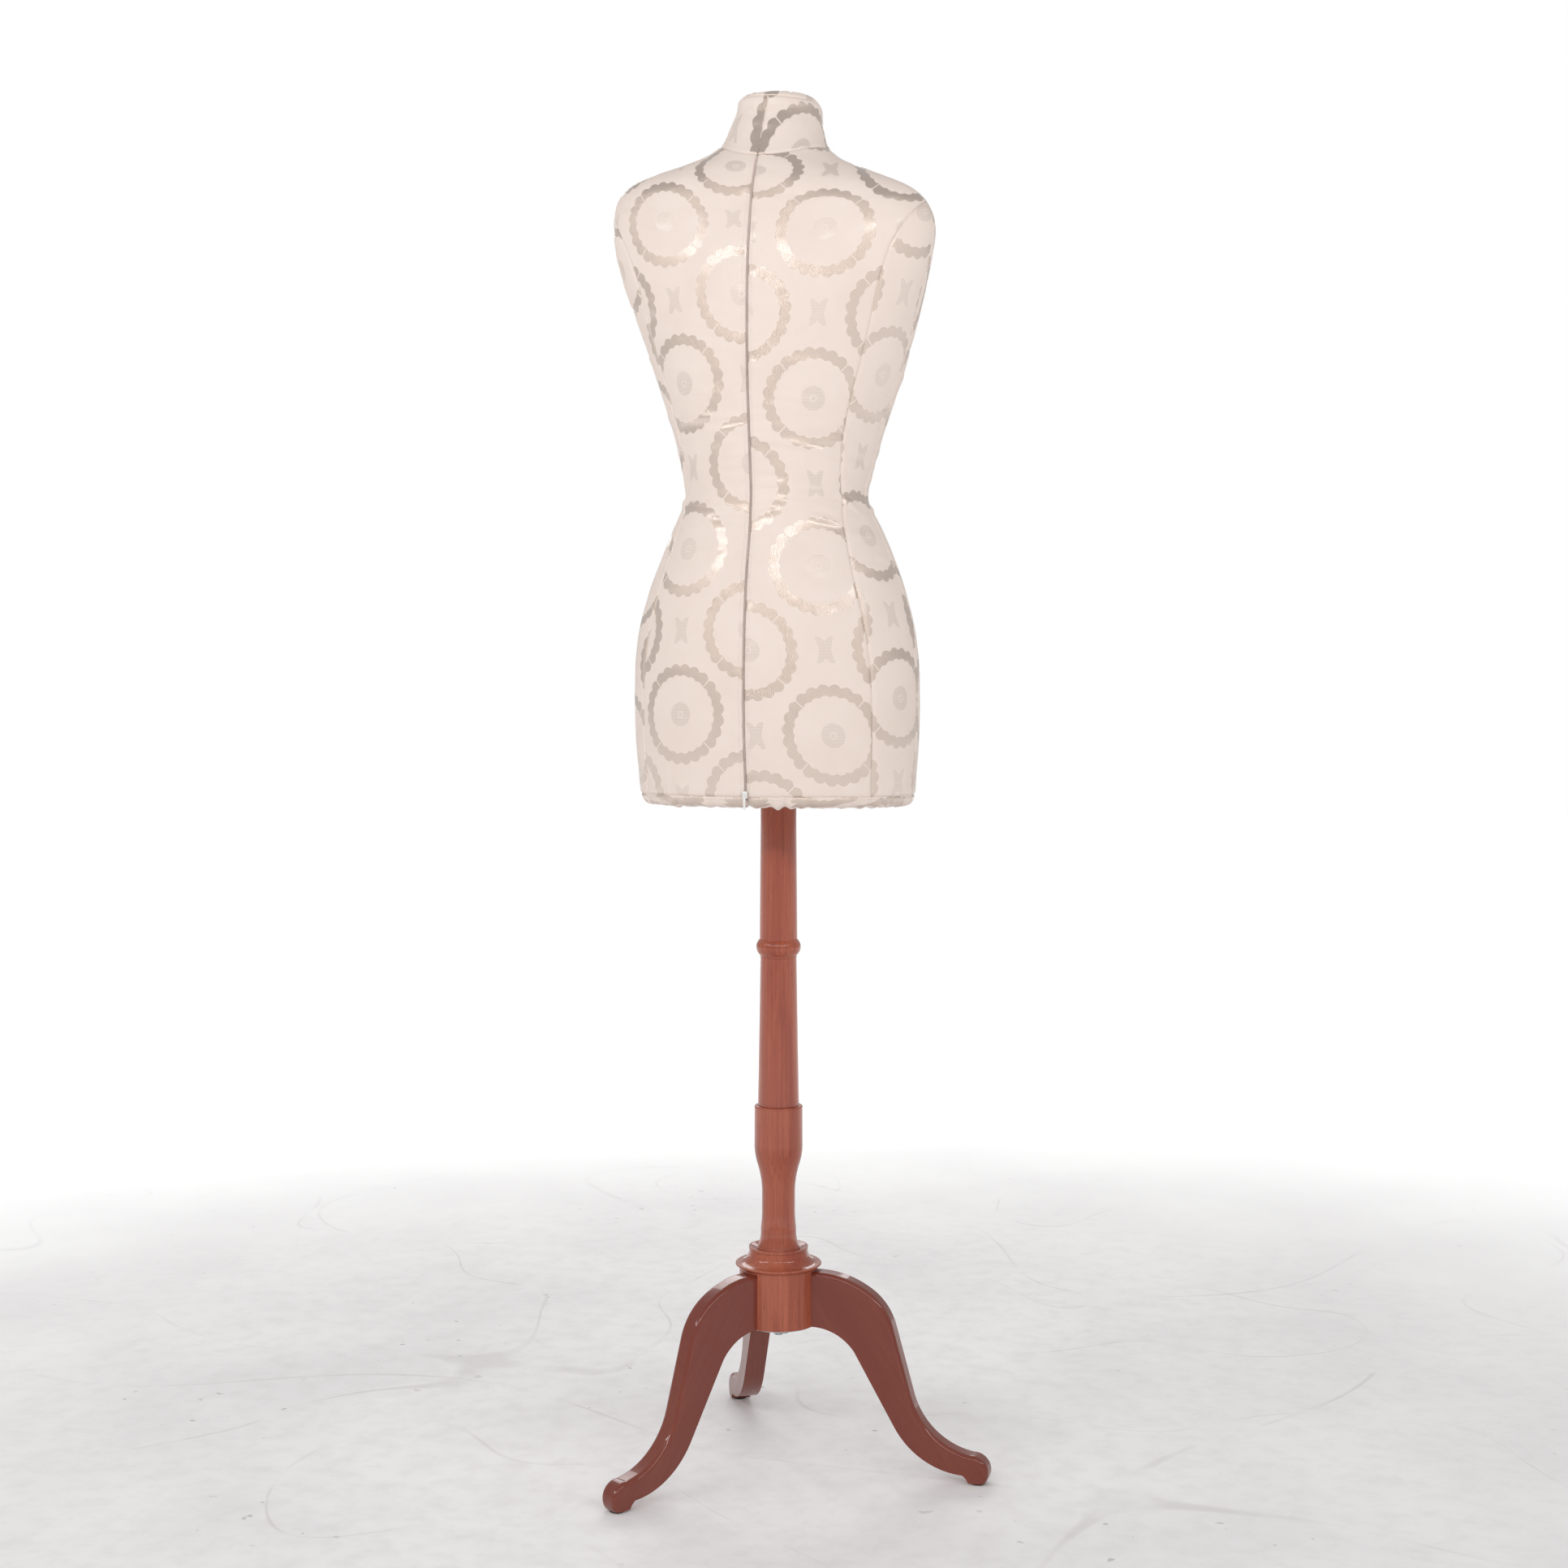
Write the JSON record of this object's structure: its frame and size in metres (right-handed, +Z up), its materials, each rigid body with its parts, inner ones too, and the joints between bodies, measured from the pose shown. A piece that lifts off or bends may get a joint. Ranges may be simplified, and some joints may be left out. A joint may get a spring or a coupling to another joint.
{
  "type": "dress form mannequin",
  "caption": "Female dress form without head or arms in a zipped cloth slipcover, turning on a turned wooden column with a tripod of curved legs.",
  "frame": {"origin": "on the floor, under the column's axis", "axes": "+Z up along the column; the form faces -Y and its zip lies at +Y; +X is the form's left"},
  "size_m": [0.4391, 0.4384, 1.5688],
  "materials": {
    "cherry": "gloss lacquer over red-brown stain",
    "felt": "dark felt",
    "steel": "zinc plated",
    "nylon": "natural nylon",
    "tube_card": "resin-hardened card",
    "foam": "hard foam",
    "plywood": "unfinished plywood",
    "jacquard": "cream jacquard with satin medallions",
    "elastic": "woven elastic",
    "zip_tape": "woven tape",
    "zip_coil": "nylon coil",
    "zip_metal": "white enamel"
  },
  "bodies": {
    "stand": {"hub": "cherry", "leg_left": "cherry", "leg_right": "cherry", "leg_front": "cherry", "foot_pad_left": "felt", "foot_pad_right": "felt", "foot_pad_front": "felt", "hub_collar": "cherry", "lower_column": "cherry", "middle_column": "cherry", "upper_post": "cherry", "hub_plate": "steel", "hub_screws": "steel", "centre_bolt": "steel", "centre_washer": "steel", "centre_nut": "steel", "lower_stud": "steel", "upper_stud": "steel"},
    "swivel": {"swivel_bush": "nylon"},
    "form": {"socket_flange": "steel", "flange_screws": "steel", "socket_tube": "tube_card", "foam_body": "foam", "base_plate": "plywood", "neck_block": "plywood", "cover_back_left": "jacquard", "cover_back_right": "jacquard", "cover_side_back_left": "jacquard", "cover_side_back_right": "jacquard", "cover_side_front_left": "jacquard", "cover_side_front_right": "jacquard", "cover_front": "jacquard", "hem_casing": "jacquard", "neck_band_left": "jacquard", "neck_band_right": "jacquard", "neck_cap": "jacquard", "hem_elastic": "elastic", "zip_tape_left": "zip_tape", "zip_tape_right": "zip_tape", "zip_coil": "zip_coil"},
    "slider": {"zip_slider": "zip_metal"},
    "pull": {"zip_pull": "zip_metal"}
  },
  "joints": [
    {"name": "form_lift", "type": "slide", "parent": "stand", "child": "swivel", "axis": [0, 0, 1], "range_m": [0, 0.15]},
    {"name": "form_turn", "type": "hinge", "parent": "swivel", "child": "form", "pos_m": [0, 0, 0.87], "axis": [0, 0, 1], "continuous": true},
    {"name": "zip_run", "type": "hinge", "parent": "form", "child": "slider", "pos_m": [0, -0.686, 0.888], "axis": [1, 0, 0], "range_deg": [0, 17]},
    {"name": "zip_pull_swing", "type": "hinge", "parent": "slider", "child": "pull", "pos_m": [0, 0.12211, 0.77054], "axis": [1, 0, 0], "range_deg": [-8, 110]}
  ]
}
